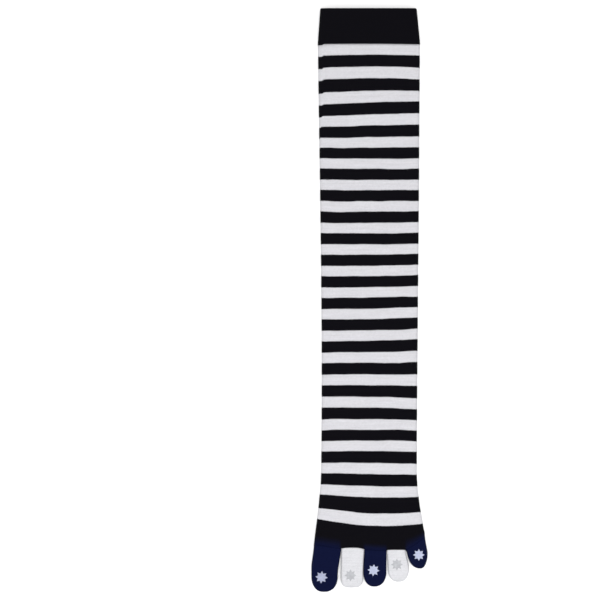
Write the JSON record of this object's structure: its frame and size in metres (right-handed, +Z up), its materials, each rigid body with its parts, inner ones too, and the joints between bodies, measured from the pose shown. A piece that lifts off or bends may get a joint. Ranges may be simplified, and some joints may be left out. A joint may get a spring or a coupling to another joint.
{
  "type": "toe sock",
  "caption": "Knee-high toe sock lying flat: doubled cuff, horizontally striped knitted tube and a separate pocket for each toe.",
  "frame": {"origin": "on the floor, under the middle of the laid sock's bounding box", "axes": "+Y along the sock from the toes to the cuff, +Z up from the sole side to the instep side, +X across from the big toe to the little toe"},
  "size_m": [0.1042, 0.5248, 0.0093],
  "materials": {
    "black_knit": "matte plain knit, black",
    "striped_knit": "matte plain knit in even stripes of white and black, black at the foot",
    "navy_knit": "matte plain knit, navy blue",
    "white_knit": "matte plain knit, white",
    "pale_print": "thin matte print, pale grey blue"
  },
  "bodies": {
    "root": {"cuff": "black_knit", "leg_and_foot": "striped_knit", "big_toe": "navy_knit", "second_toe": "white_knit", "middle_toe": "navy_knit", "fourth_toe": "white_knit", "little_toe": "navy_knit", "big_toe_star": "pale_print", "second_toe_star": "pale_print", "middle_toe_star": "pale_print", "fourth_toe_star": "pale_print", "little_toe_star": "pale_print"}
  },
  "joints": []
}
